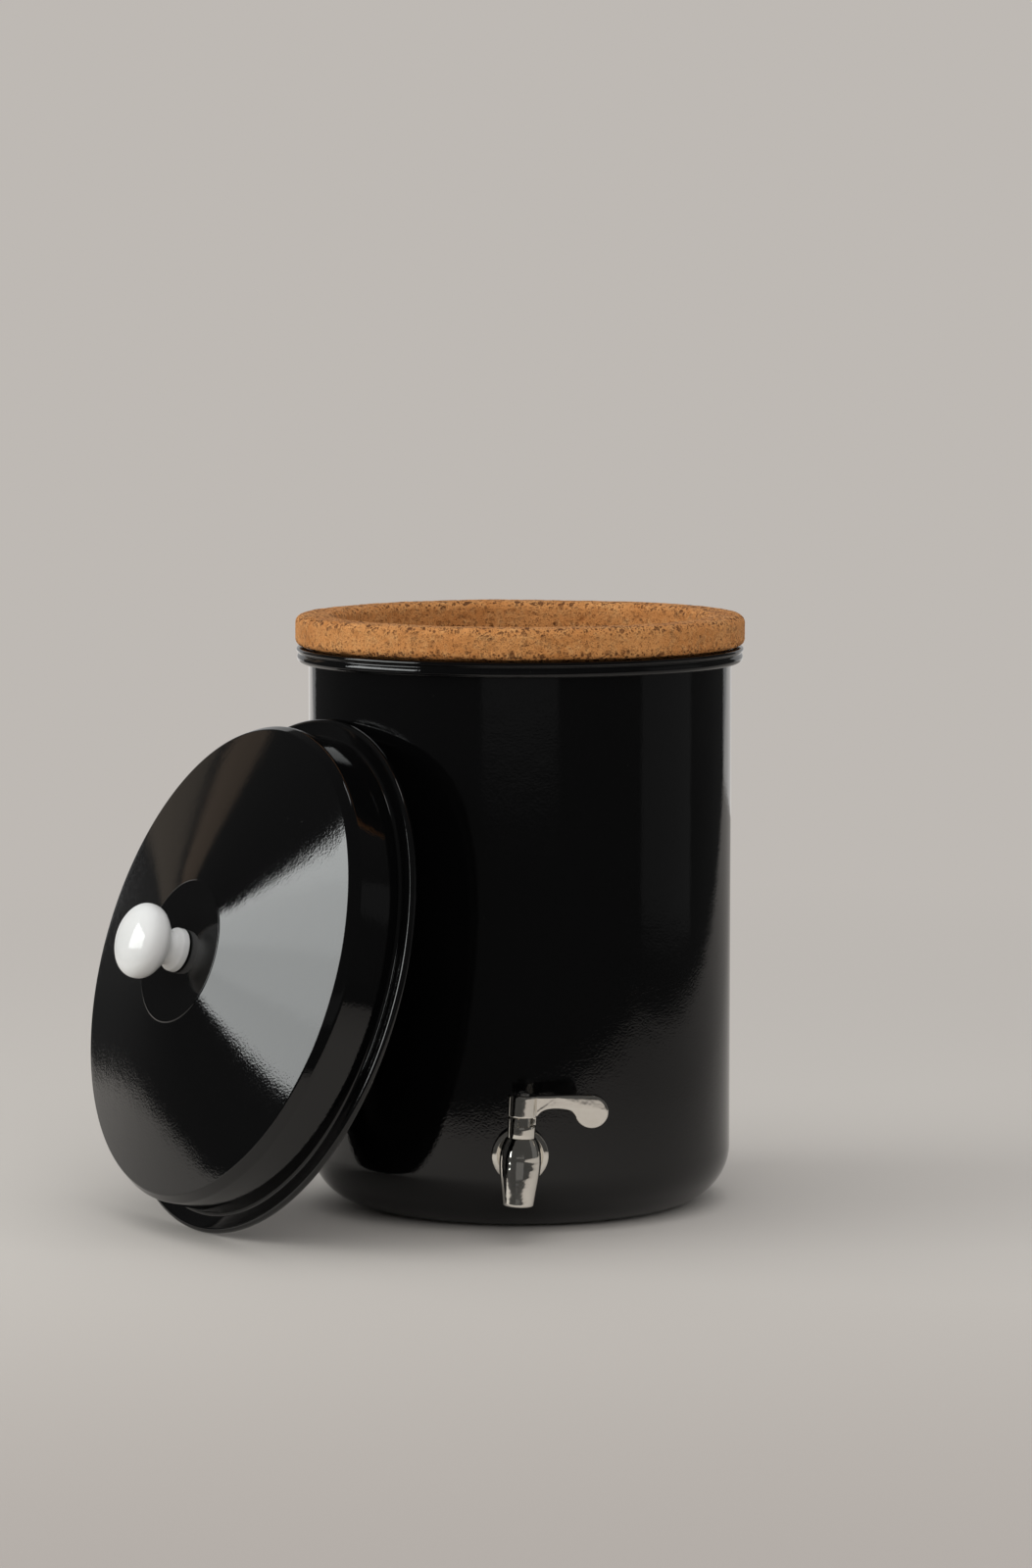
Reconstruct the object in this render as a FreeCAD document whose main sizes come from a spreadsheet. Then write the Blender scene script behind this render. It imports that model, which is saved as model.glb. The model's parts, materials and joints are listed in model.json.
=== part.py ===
import FreeCAD, Part
import math
import os
import Sketcher

# Gravity water filter: an enamelled steel vessel with a tap at its foot, a porous clay filter pot
# that hangs in its mouth by a wide rim, and a domed lid that leans against the vessel's left side.
# Frame: origin on the floor at the vessel's axis, +Z up, the tap points to -Y, +X is its right.

os.makedirs("parts", exist_ok=True)
doc = FreeCAD.newDocument("gravity_water_filter")
sheet = doc.addObject("Spreadsheet::Sheet", "Dim")
V = FreeCAD.Vector


class Size:
    """A length kept both as a number and as the spreadsheet expression that drives it."""

    def __init__(self, value, text):
        self.value = float(value)
        self.text = text

    def __add__(self, other):
        other = size(other)
        return Size(self.value + other.value, f"({self.text} + {other.text})")

    def __sub__(self, other):
        other = size(other)
        return Size(self.value - other.value, f"({self.text} - {other.text})")

    def __mul__(self, other):
        other = size(other)
        return Size(self.value * other.value, f"({self.text} * {other.text})")

    def __truediv__(self, other):
        other = size(other)
        return Size(self.value / other.value, f"({self.text} / {other.text})")

    def __radd__(self, other):
        return size(other) + self

    def __rsub__(self, other):
        return size(other) - self

    def __rmul__(self, other):
        return size(other) * self

    def __neg__(self):
        return Size(-self.value, f"(0 - {self.text})")


def size(thing):
    if isinstance(thing, Size):
        return thing
    return Size(thing, f"{float(thing):.6g}")


row = 1


def dimension(alias, value):
    global row
    sheet.set(f"A{row}", alias)
    sheet.set(f"B{row}", f"{value}")
    sheet.setAlias(f"B{row}", alias)
    row += 1
    return Size(value, f"Dim.{alias}")


# Vessel: deep drawn steel can, rounded at the foot, its mouth rolled outward over a wire.
vessel_radius = dimension("vessel_radius", 145.0)
sheet_thickness = dimension("sheet_thickness", 1.6)
foot_radius = dimension("foot_radius", 38.0)
bead_radius = dimension("bead_radius", 5.0)
bead_centre_radius = dimension("bead_centre_radius", 149.6)
bead_height = dimension("bead_height", 377.3)
bead_drop = dimension("bead_drop", 1.959592)
tap_height = dimension("tap_height", 54.0)
tap_hole_radius = dimension("tap_hole_radius", 8.4)

# Clay filter pot: thick round-edged rim, tapered wall, flat base.
rim_radius = dimension("rim_radius", 155.0)
rim_top = dimension("rim_top", 405.8)
rim_edge = dimension("rim_edge", 6.0)
mouth_radius = dimension("mouth_radius", 126.6)
pot_neck_radius = dimension("pot_neck_radius", 140.4)
pot_base_radius = dimension("pot_base_radius", 121.0)
pot_base_height = dimension("pot_base_height", 166.0)
pot_wall = dimension("pot_wall", 14.5)
seat_gap = dimension("seat_gap", 0.3)

# Lid: enamelled dome with a flat crown, a cone, a rounded shoulder, a side band and a rolled flange.
flange_radius = dimension("flange_radius", 177.0)
flange_bead = dimension("flange_bead", 2.6)
band_radius = dimension("band_radius", 163.5)
band_top = dimension("band_top", 26.6)
shoulder_radius = dimension("shoulder_radius", 150.0)
shoulder_height = dimension("shoulder_height", 44.6)
crown_radius = dimension("crown_radius", 48.6)
crown_height = dimension("crown_height", 70.5)
knob_hole_radius = dimension("knob_hole_radius", 3.6)
lean_azimuth = dimension("lean_azimuth", 58.6)
lean_back = dimension("lean_back", 17.5)

# Porcelain knob and what holds it.
knob_radius = dimension("knob_radius", 26.0)
knob_half_height = dimension("knob_half_height", 14.6)
knob_centre = dimension("knob_centre", 99.1)
knob_neck_radius = dimension("knob_neck_radius", 9.6)
knob_base_radius = dimension("knob_base_radius", 15.0)
knob_gasket_thickness = dimension("knob_gasket_thickness", 0.6)
knob_screw_radius = dimension("knob_screw_radius", 2.5)

# Tap: a barrel with a spout below it, clamped through the wall by its threaded shank.
barrel_reach = dimension("barrel_reach", 175.0)
tap_tilt = dimension("tap_tilt", 2.7)
shank_radius = dimension("shank_radius", 8.0)
shank_bore_radius = dimension("shank_bore_radius", 4.5)
shank_end = dimension("shank_end", 57.0)
collar_radius = dimension("collar_radius", 10.0)
barrel_radius = dimension("barrel_radius", 13.6)
spout_radius = dimension("spout_radius", 10.2)
spout_drop = dimension("spout_drop", 28.0)
outlet_radius = dimension("outlet_radius", 7.4)
chamber_radius = dimension("chamber_radius", 7.0)
chamber_floor = dimension("chamber_floor", 10.0)
barrel_top = dimension("barrel_top", 16.0)
tap_flange_radius = dimension("tap_flange_radius", 19.1)
tap_flange_thickness = dimension("tap_flange_thickness", 4.0)
tap_flange_back = dimension("tap_flange_back", 26.4)
bonnet_radius = dimension("bonnet_radius", 9.25)
bonnet_top = dimension("bonnet_top", 30.0)
notch_floor = dimension("notch_floor", 24.3)
notch_radius = dimension("notch_radius", 6.5)
notch_start = dimension("notch_start", -107.0)
notch_sweep = dimension("notch_sweep", 124.0)

# Plug: quarter-turn valve, a side port that meets a port through its foot.
running_gap = dimension("running_gap", 0.05)
port_radius = dimension("port_radius", 4.0)
ring_section = dimension("ring_section", 0.9)
upper_ring_height = dimension("upper_ring_height", 8.0)
lower_ring_height = dimension("lower_ring_height", -7.0)
stem_radius = dimension("stem_radius", 4.5)
stem_square = dimension("stem_square", 6.2)
plug_shoulder = dimension("plug_shoulder", 11.7)
stem_top = dimension("stem_top", 42.0)

# Lever: hub, flat arm and round finger paddle.
hub_radius = dimension("hub_radius", 9.35)
hub_top = dimension("hub_top", 44.6)
paddle_reach = dimension("paddle_reach", 45.4)
paddle_height = dimension("paddle_height", 35.7)
paddle_radius = dimension("paddle_radius", 10.9)
paddle_thickness = dimension("paddle_thickness", 5.0)
arm_thickness = dimension("arm_thickness", 6.4)
lever_screw_radius = dimension("lever_screw_radius", 2.0)

# Gaskets, washer and nuts on the shank, measured out along it.
outer_gasket_radius = dimension("outer_gasket_radius", 17.2)
inner_gasket_radius = dimension("inner_gasket_radius", 14.0)
washer_face = dimension("washer_face", 35.6)
washer_thickness = dimension("washer_thickness", 1.6)
nut_circumradius = dimension("nut_circumradius", 13.86)
nut_height = dimension("nut_height", 8.0)
lock_nut_height = dimension("lock_nut_height", 5.0)
thread_gap = dimension("thread_gap", 0.3)
doc.recompute()

origin_height = tap_height.value
tap_frame = FreeCAD.Placement(
    V(0, -barrel_reach.value, origin_height),
    FreeCAD.Rotation(V(0, 1, 0), tap_tilt.value))
wall_frame = FreeCAD.Placement(V(0, -barrel_reach.value, origin_height), FreeCAD.Rotation())


def lid_frame():
    turn = math.radians(lean_azimuth.value)
    lean = math.radians(lean_back.value)
    ring = flange_radius.value - flange_bead.value
    outward = V(-math.sin(turn), -math.cos(turn), 0)
    axis = outward * math.cos(lean) + V(0, 0, math.sin(lean))
    reach = vessel_radius.value + seat_gap.value + flange_bead.value + ring * math.sin(lean)
    centre = outward * reach + V(0, 0, ring * math.cos(lean) + flange_bead.value)
    return FreeCAD.Placement(centre - axis * flange_bead.value, FreeCAD.Rotation(V(0, 0, 1), axis))


leaning = lid_frame()


def new_body(label, placement):
    body = doc.addObject("PartDesign::Body", label)
    body.Label = label
    body.Placement = placement
    return body


def origin_plane(body, role):
    for feature in body.Origin.OriginFeatures:
        if feature.Role == role:
            return feature
    raise RuntimeError(role)


def new_sketch(body, name, role, lift=None):
    sketch = body.newObject("Sketcher::SketchObject", name)
    sketch.AttachmentSupport = [(origin_plane(body, role), "")]
    sketch.MapMode = "FlatFace"
    if lift is not None:
        sketch.setExpression("AttachmentOffset.Base.z", lift.text)
        sketch.AttachmentOffset = FreeCAD.Placement(V(0, 0, lift.value), FreeCAD.Rotation())
    return sketch


def pin_point(sketch, element, end, x, y, name):
    """Hold one sketch point at its driven distances from the sketch's origin."""
    for kind, amount, axis in (("DistanceX", x, -2), ("DistanceY", y, -1)):
        if amount.text == "0":
            sketch.addConstraint(Sketcher.Constraint("PointOnObject", element, end, axis))
            continue
        if amount.value < 0:
            rule = Sketcher.Constraint(kind, element, end, -1, 1, -amount.value)
            driven = -amount
        else:
            rule = Sketcher.Constraint(kind, -1, 1, element, end, amount.value)
            driven = amount
        index = sketch.addConstraint(rule)
        label = f"{name}_{kind[-1].lower()}"
        sketch.renameConstraint(index, label)
        sketch.setExpression(f"Constraints.{label}", driven.text)


def arc_centre(start, end, radius, left, long_way):
    middle = (start + end) * 0.5
    chord = end - start
    rise = math.sqrt(max(radius * radius - chord.Length ** 2 / 4, 0.0))
    across = V(-chord.y, chord.x, 0).normalize()
    return middle + across * (rise if left != long_way else -rise)


def outline(sketch, corners, bends=None):
    """Closed outline through driven corners; a bend turns the side that leaves its corner into an arc."""
    bends = bends or {}
    points = [V(size(x).value, size(y).value, 0) for x, y in corners]
    count = len(points)
    starts = []
    ends = []
    for i in range(count):
        here = points[i]
        after = points[(i + 1) % count]
        if i in bends:
            radius, left, long_way = bends[i]
            centre = arc_centre(here, after, size(radius).value, left, long_way)
            first, last = (here, after) if left else (after, here)
            a0 = math.atan2(first.y - centre.y, first.x - centre.x)
            a1 = math.atan2(last.y - centre.y, last.x - centre.x)
            if a1 < a0:
                a1 += 2 * math.pi
            circle = Part.Circle(centre, V(0, 0, 1), size(radius).value)
            sketch.addGeometry(Part.ArcOfCircle(circle, a0, a1))
            starts.append(1 if left else 2)
            ends.append(2 if left else 1)
        else:
            sketch.addGeometry(Part.LineSegment(here, after))
            starts.append(1)
            ends.append(2)
    for i in range(count):
        after = (i + 1) % count
        sketch.addConstraint(Sketcher.Constraint("Coincident", i, ends[i], after, starts[after]))
    for i, (x, y) in enumerate(corners):
        pin_point(sketch, i, starts[i], size(x), size(y), f"corner{i}")
    for i in sorted(bends):
        radius = size(bends[i][0])
        index = sketch.addConstraint(Sketcher.Constraint("Radius", i, radius.value))
        sketch.renameConstraint(index, f"bend{i}")
        sketch.setExpression(f"Constraints.bend{i}", radius.text)


def disc(sketch, radius, x=0, y=0):
    x = size(x)
    y = size(y)
    sketch.addGeometry(Part.Circle(V(x.value, y.value, 0), V(0, 0, 1), radius.value))
    pin_point(sketch, 0, 3, x, y, "centre")
    index = sketch.addConstraint(Sketcher.Constraint("Radius", 0, radius.value))
    sketch.renameConstraint(index, "round")
    sketch.setExpression("Constraints.round", radius.text)


def spin(body, name, sketch, kind="PartDesign::Revolution"):
    feature = body.newObject(kind, name)
    feature.Profile = sketch
    feature.ReferenceAxis = (sketch, ["V_Axis"])
    feature.Angle = 360
    finish(body, feature)
    return feature


def finish(body, feature):
    body.Tip = feature
    doc.recompute()
    if feature.Shape.isNull() or not feature.Shape.isValid():
        raise RuntimeError(f"{feature.Name} has no sound shape")


def extrude(body, name, sketch, length, kind="PartDesign::Pad", reverse=False, midplane=False):
    feature = body.newObject(kind, name)
    feature.Profile = sketch
    feature.Length = length.value
    feature.setExpression("Length", length.text)
    feature.Reversed = reverse
    if midplane:
        feature.SideType = "Symmetric"
    finish(body, feature)
    return feature




def left_bend(radius, long_way=False):
    return (radius, True, long_way)


def right_bend(radius, long_way=False):
    return (radius, False, long_way)


def cut_less(body, before, name):
    if not body.Shape.Volume < before - 1e-3:
        raise RuntimeError(f"{name} cuts nothing")


def vessel_shell():
    body = new_body("vessel_shell", FreeCAD.Placement())
    sketch = new_sketch(body, "wall_section", "XZ_Plane")
    t = sheet_thickness
    inner = vessel_radius - t
    outline(sketch, [
        (0, 0),
        (vessel_radius - foot_radius, 0),
        (vessel_radius, foot_radius),
        (vessel_radius, bead_height - bead_drop),
        (bead_centre_radius, bead_height + bead_radius),
        (inner + bead_radius, bead_height + bead_radius),
        (inner, bead_height),
        (inner, foot_radius),
        (vessel_radius - foot_radius, t),
        (0, t)],
        {1: left_bend(foot_radius),
         3: left_bend(bead_radius, True),
         5: left_bend(bead_radius),
         7: right_bend(foot_radius - t)})
    spin(body, "wall", sketch)
    hole = new_sketch(body, "tap_hole_circle", "XZ_Plane")
    disc(hole, tap_hole_radius, 0, tap_height)
    before = body.Shape.Volume
    extrude(body, "tap_hole", hole, vessel_radius + 10, "PartDesign::Pocket", True)
    cut_less(body, before, "tap_hole")
    return body


def filter_pot():
    body = new_body("filter_pot", FreeCAD.Placement())
    sketch = new_sketch(body, "clay_section", "XZ_Plane")
    seat = bead_height + bead_radius + seat_gap
    outline(sketch, [
        (0, pot_base_height),
        (pot_base_radius - 8, pot_base_height),
        (pot_base_radius, pot_base_height + 8),
        (pot_neck_radius, seat - 3),
        (pot_neck_radius + 3, seat),
        (rim_radius - rim_edge, seat),
        (rim_radius, seat + rim_edge),
        (rim_radius, rim_top - rim_edge),
        (rim_radius - rim_edge, rim_top),
        (mouth_radius + rim_edge, rim_top),
        (mouth_radius, rim_top - rim_edge),
        (mouth_radius, seat - 6),
        (pot_base_radius - pot_wall, pot_base_height + pot_wall + 12),
        (pot_base_radius - pot_wall - 12, pot_base_height + pot_wall),
        (0, pot_base_height + pot_wall)],
        {1: left_bend(8.5),
         3: right_bend(3.2),
         5: left_bend(rim_edge),
         7: left_bend(rim_edge),
         9: left_bend(rim_edge),
         12: right_bend(12.5)})
    spin(body, "clay", sketch)
    return body


def lid_shell():
    body = new_body("lid_shell", leaning)
    sketch = new_sketch(body, "dome_section", "XZ_Plane")
    t = sheet_thickness
    bead = flange_bead
    roll = flange_radius - bead
    outline(sketch, [
        (knob_hole_radius, crown_height - t),
        (crown_radius - 2, crown_height - t),
        (crown_radius, crown_height - t - 1.4),
        (shoulder_radius - 0.8, shoulder_height - t),
        (band_radius - t, band_top),
        (band_radius - t, bead + 4),
        (band_radius + 1.5, bead),
        (roll - bead, bead),
        (roll, bead * 2),
        (band_radius + 2.5, bead + t),
        (band_radius, bead + t + 2.5),
        (band_radius, band_top),
        (shoulder_radius, shoulder_height),
        (crown_radius + 1, crown_height - 1.4),
        (crown_radius - 2, crown_height),
        (knob_hole_radius, crown_height)],
        {3: right_bend(20.6),
         5: left_bend(3.2),
         7: left_bend(bead, True),
         9: right_bend(2.5),
         11: left_bend(22)})
    spin(body, "dome", sketch)
    return body


def lid_knob():
    body = new_body("lid_knob", leaning)
    sketch = new_sketch(body, "porcelain_section", "XZ_Plane")
    foot = crown_height + knob_gasket_thickness
    top = knob_centre + knob_half_height
    low = knob_centre - knob_half_height * 0.62
    cap = knob_half_height * 0.38
    cap_reach = knob_radius * 0.784
    cap_radius = (cap_reach * cap_reach + cap * cap) / (2 * cap)
    outline(sketch, [
        (knob_screw_radius + 0.6, foot),
        (knob_base_radius - 1, foot),
        (knob_base_radius, foot + 1),
        (knob_base_radius, foot + 3),
        (knob_base_radius - 2.2, foot + 5.2),
        (knob_neck_radius, foot + 9),
        (knob_radius * 0.784, low),
        (knob_radius, knob_centre),
        (knob_radius * 0.784, knob_centre + knob_half_height * 0.62),
        (0, top),
        (0, foot + 24),
        (knob_screw_radius + 0.6, foot + 24)],
        {1: left_bend(1), 3: left_bend(2.4), 5: right_bend(14),
         6: left_bend(15), 7: left_bend(15), 8: left_bend(cap_radius)})
    spin(body, "porcelain", sketch)
    return body


def flat_ring(label, placement, plane_turn, outer, inner, start, thickness):
    """A washer made of two primitive cylinders; plane_turn lays its axis along the shank."""
    rim = doc.addObject("Part::Cylinder", f"{label}_blank")
    bore = doc.addObject("Part::Cylinder", f"{label}_bore")
    for shape, radius, extra in ((rim, outer, 0), (bore, inner, 1)):
        shape.setExpression("Radius", size(radius).text)
        shape.setExpression("Height", (size(thickness) + 2 * extra).text)
        if plane_turn:
            shape.Placement = FreeCAD.Placement(V(0, 0, 0), FreeCAD.Rotation(V(1, 0, 0), -90))
            shape.setExpression("Placement.Base.y", (size(start) - extra).text)
        else:
            shape.setExpression("Placement.Base.z", (size(start) - extra).text)
    ring = doc.addObject("Part::Cut", label)
    ring.Base = rim
    ring.Tool = bore
    ring.Label = label
    ring.Placement = placement
    return ring


def screw(label, placement, shank, head, head_height, start, length, upward):
    """Round-headed screw with a straight slot; it lies along its own +Z or -Z."""
    body = new_body(label, placement)
    sketch = new_sketch(body, "half_section", "XZ_Plane")
    sign = 1 if upward else -1
    face = size(start)
    corners = [
        (0, face - sign * head_height),
        (head - 0.8, face - sign * head_height),
        (head, face - sign * head_height + sign * 0.8),
        (head, face),
        (shank, face),
        (shank, face + sign * length),
        (0, face + sign * length)]
    outline(sketch, corners)
    spin(body, "turned", sketch)
    slot = new_sketch(body, "slot_line", "XY_Plane", face - sign * head_height)
    half = size(0.6)
    reach = size(head) + 1
    outline(slot, [(-reach, -half), (reach, -half), (reach, half), (-reach, half)])
    before = body.Shape.Volume
    extrude(body, "slot", slot, size(1.1), "PartDesign::Pocket", upward)
    cut_less(body, before, label)
    return body


def tap_body():
    body = new_body("tap_body", tap_frame)
    sketch = new_sketch(body, "barrel_section", "XZ_Plane")
    outline(sketch, [
        (0, -spout_drop),
        (spout_radius - 0.8, -spout_drop),
        (spout_radius, -spout_drop + 0.8),
        (barrel_radius, -1),
        (barrel_radius - 0.4, 5.5),
        (bonnet_radius + 0.45, barrel_top),
        (0, barrel_top)],
        {1: left_bend(0.8), 2: left_bend(150), 3: left_bend(40), 4: left_bend(24)})
    spin(body, "barrel", sketch)
    collar = new_sketch(body, "collar_circle", "XZ_Plane")
    disc(collar, collar_radius)
    extrude(body, "collar", collar, tap_flange_back - tap_flange_thickness, reverse=True)
    shank = new_sketch(body, "shank_circle", "XZ_Plane")
    disc(shank, shank_radius)
    extrude(body, "shank", shank, shank_end, reverse=True)
    ways = new_sketch(body, "chamber_section", "XZ_Plane")
    outline(ways, [
        (0, -spout_drop - 1),
        (outlet_radius, -spout_drop - 1),
        (outlet_radius, -spout_drop + 14),
        (port_radius + 1, -chamber_floor - 1),
        (port_radius + 1, -chamber_floor),
        (chamber_radius, -chamber_floor),
        (chamber_radius, barrel_top - 4.2),
        (bonnet_radius - 0.85, barrel_top - 4.2),
        (bonnet_radius - 0.85, barrel_top + 1),
        (0, barrel_top + 1)])
    before = body.Shape.Volume
    spin(body, "chamber", ways, "PartDesign::Groove")
    cut_less(body, before, "chamber")
    inlet = new_sketch(body, "inlet_circle", "XZ_Plane")
    disc(inlet, shank_bore_radius)
    before = body.Shape.Volume
    extrude(body, "inlet", inlet, shank_end + 1, "PartDesign::Pocket", False)
    cut_less(body, before, "inlet")
    return body


def tap_flange():
    body = new_body("tap_flange", tap_frame)
    sketch = new_sketch(body, "rosette_section", "XY_Plane")
    back = tap_flange_back
    front = back - tap_flange_thickness
    outline(sketch, [
        (shank_radius + thread_gap, front),
        (collar_radius + 1.6, front),
        (tap_flange_radius - 2.6, front + 1),
        (tap_flange_radius, front + 2.8),
        (tap_flange_radius, back - 0.4),
        (tap_flange_radius - 0.4, back),
        (shank_radius + thread_gap, back)],
        {2: left_bend(2.9)})
    spin(body, "rosette", sketch)
    return body


def pie(label, radius, floor, height, start, sweep):
    wedge = doc.addObject("Part::Cylinder", label)
    wedge.setExpression("Radius", size(radius).text)
    wedge.setExpression("Height", size(height).text)
    wedge.setExpression("Angle", size(sweep).text)
    wedge.Placement = FreeCAD.Placement(V(0, 0, size(floor).value), FreeCAD.Rotation(V(0, 0, 1), start))
    wedge.setExpression("Placement.Base.z", size(floor).text)
    return wedge


def tap_bonnet():
    """Collar that holds the plug down; a notch in its rim stops the lever at both ends."""
    collar = doc.addObject("Part::Cylinder", "bonnet_collar")
    collar.setExpression("Radius", bonnet_radius.text)
    collar.setExpression("Height", (bonnet_top - barrel_top).text)
    collar.setExpression("Placement.Base.z", barrel_top.text)
    spigot = doc.addObject("Part::Cylinder", "bonnet_spigot")
    spigot.setExpression("Radius", (bonnet_radius - 0.85 - thread_gap).text)
    spigot.setExpression("Height", size(4.0).text)
    spigot.setExpression("Placement.Base.z", (barrel_top - 4.0).text)
    solid = doc.addObject("Part::MultiFuse", "bonnet_blank")
    solid.Shapes = [collar, spigot]
    bore = doc.addObject("Part::Cylinder", "bonnet_bore")
    bore.setExpression("Radius", (stem_radius + running_gap).text)
    bore.setExpression("Height", size(40).text)
    drilled = doc.addObject("Part::Cut", "bonnet_drilled")
    drilled.Base = solid
    drilled.Tool = bore
    wedge = pie("notch_wedge", bonnet_radius + 2, notch_floor, 8, notch_start.value, notch_sweep)
    core = doc.addObject("Part::Cylinder", "notch_core")
    core.setExpression("Radius", notch_radius.text)
    core.setExpression("Height", size(40).text)
    notch = doc.addObject("Part::Cut", "notch")
    notch.Base = wedge
    notch.Tool = core
    bonnet = doc.addObject("Part::Cut", "tap_bonnet")
    bonnet.Base = drilled
    bonnet.Tool = notch
    bonnet.Label = "tap_bonnet"
    bonnet.Placement = tap_frame
    return bonnet


def valve_plug():
    body = new_body("valve_plug", tap_frame)
    sketch = new_sketch(body, "plug_section", "XZ_Plane")
    outer = chamber_radius - running_gap
    groove = outer - ring_section * 2 - 0.05
    half = ring_section + 0.2
    outline(sketch, [
        (0, -chamber_floor + seat_gap),
        (outer, -chamber_floor + seat_gap),
        (outer, lower_ring_height - half),
        (groove, lower_ring_height - half),
        (groove, lower_ring_height + half),
        (outer, lower_ring_height + half),
        (outer, upper_ring_height - half),
        (groove, upper_ring_height - half),
        (groove, upper_ring_height + half),
        (outer, upper_ring_height + half),
        (outer, plug_shoulder),
        (stem_radius, plug_shoulder),
        (stem_radius, bonnet_top),
        (0, bonnet_top)])
    spin(body, "turned", sketch)
    square = new_sketch(body, "square_end", "XY_Plane", bonnet_top)
    half = stem_square / 2
    outline(square, [(-half, -half), (half, -half), (half, half), (-half, half)])
    extrude(body, "square", square, stem_top - bonnet_top)
    foot = new_sketch(body, "foot_port_circle", "XY_Plane")
    disc(foot, port_radius)
    before = body.Shape.Volume
    extrude(body, "foot_port", foot, chamber_floor + 1, "PartDesign::Pocket")
    cut_less(body, before, "foot_port")
    side = new_sketch(body, "side_port_circle", "YZ_Plane")
    disc(side, port_radius)
    before = body.Shape.Volume
    extrude(body, "side_port", side, chamber_radius + 1, "PartDesign::Pocket")
    cut_less(body, before, "side_port")
    tapped = new_sketch(body, "screw_hole_circle", "XY_Plane", stem_top)
    disc(tapped, lever_screw_radius + thread_gap)
    before = body.Shape.Volume
    extrude(body, "screw_hole", tapped, size(9), "PartDesign::Pocket")
    cut_less(body, before, "screw_hole")
    return body


def o_ring(label, height):
    ring = doc.addObject("Part::Torus", label)
    ring.setExpression("Radius1", (chamber_radius - running_gap - ring_section).text)
    ring.setExpression("Radius2", ring_section.text)
    ring.Label = label
    ring.Placement = tap_frame * FreeCAD.Placement(V(0, 0, height.value), FreeCAD.Rotation())
    return ring


def tap_lever():
    body = new_body("tap_lever", tap_frame)
    arm = new_sketch(body, "arm_outline", "XZ_Plane")
    root = hub_radius - 3
    outline(arm, [
        (root, hub_top - 0.8),
        (root, bonnet_top + 1.4),
        (hub_radius + 0.4, bonnet_top + 1.6),
        (hub_radius + 4.1, bonnet_top + 4.9),
        (paddle_reach - 15.4, paddle_height),
        (paddle_reach - 9.8, paddle_height - 4.7),
        (paddle_reach - 1, paddle_height + 10.6)],
        {2: right_bend(6), 3: right_bend(30), 4: right_bend(6), 6: left_bend(160)})
    extrude(body, "arm", arm, arm_thickness, midplane=True)
    paddle = new_sketch(body, "paddle_circle", "XZ_Plane")
    disc(paddle, paddle_radius, paddle_reach, paddle_height)
    extrude(body, "paddle", paddle, paddle_thickness, midplane=True)
    hub = new_sketch(body, "hub_section", "XZ_Plane")
    outline(hub, [
        (0, bonnet_top + seat_gap),
        (hub_radius - 0.3, bonnet_top + seat_gap),
        (hub_radius, bonnet_top + 1),
        (hub_radius, hub_top - 1),
        (hub_radius - 1, hub_top),
        (0, hub_top)],
        {3: left_bend(1)})
    spin(body, "hub", hub)
    stop = new_sketch(body, "stop_outline", "XY_Plane", notch_floor + 0.5)
    outline(stop, [
        (notch_radius + 0.3, -1.7), (hub_radius - 0.35, -1.7),
        (hub_radius - 0.35, 1.7), (notch_radius + 0.3, 1.7)])
    extrude(body, "stop", stop, bonnet_top - notch_floor + 0.5)
    socket = new_sketch(body, "socket_square", "XY_Plane", stem_top + seat_gap)
    half = stem_square / 2 + 0.3
    outline(socket, [(-half, -half), (half, -half), (half, half), (-half, half)])
    before = body.Shape.Volume
    extrude(body, "socket", socket, stem_top - bonnet_top + seat_gap, "PartDesign::Pocket")
    cut_less(body, before, "socket")
    hole = new_sketch(body, "lever_screw_circle", "XY_Plane", hub_top)
    disc(hole, lever_screw_radius + 0.3)
    before = body.Shape.Volume
    extrude(body, "lever_screw_hole", hole, size(6), "PartDesign::Pocket")
    cut_less(body, before, "lever_screw_hole")
    return body


def gasket(label, radius, flat_face, wall_radius, outside):
    """Rubber ring, flat towards the metal and hollowed or rounded to follow the vessel's wall."""
    blank = doc.addObject("Part::Cylinder", f"{label}_blank")
    blank.setExpression("Radius", radius.text)
    blank.setExpression("Height", size(12).text)
    blank.Placement = FreeCAD.Placement(V(0, 0, 0), FreeCAD.Rotation(V(1, 0, 0), -90))
    start = flat_face if outside else flat_face - 12
    blank.setExpression("Placement.Base.y", start.text)
    bore = doc.addObject("Part::Cylinder", f"{label}_bore")
    bore.setExpression("Radius", (shank_radius + thread_gap).text)
    bore.setExpression("Height", size(40).text)
    bore.Placement = FreeCAD.Placement(V(0, 0, 0), FreeCAD.Rotation(V(1, 0, 0), -90))
    bore.setExpression("Placement.Base.y", (flat_face - 20).text)
    ring = doc.addObject("Part::Cut", f"{label}_ring")
    ring.Base = blank
    ring.Tool = bore
    wall = doc.addObject("Part::Cylinder", f"{label}_wall")
    wall.setExpression("Radius", wall_radius.text)
    wall.setExpression("Height", size(80).text)
    wall.Placement = FreeCAD.Placement(V(0, barrel_reach.value, -40), FreeCAD.Rotation())
    wall.setExpression("Placement.Base.y", barrel_reach.text)
    kind = "Part::Cut" if outside else "Part::Common"
    shaped = doc.addObject(kind, label)
    if outside:
        shaped.Base = ring
        shaped.Tool = wall
    else:
        shaped.Base = ring
        shaped.Tool = wall
    shaped.Label = label
    shaped.Placement = wall_frame
    return shaped


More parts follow.
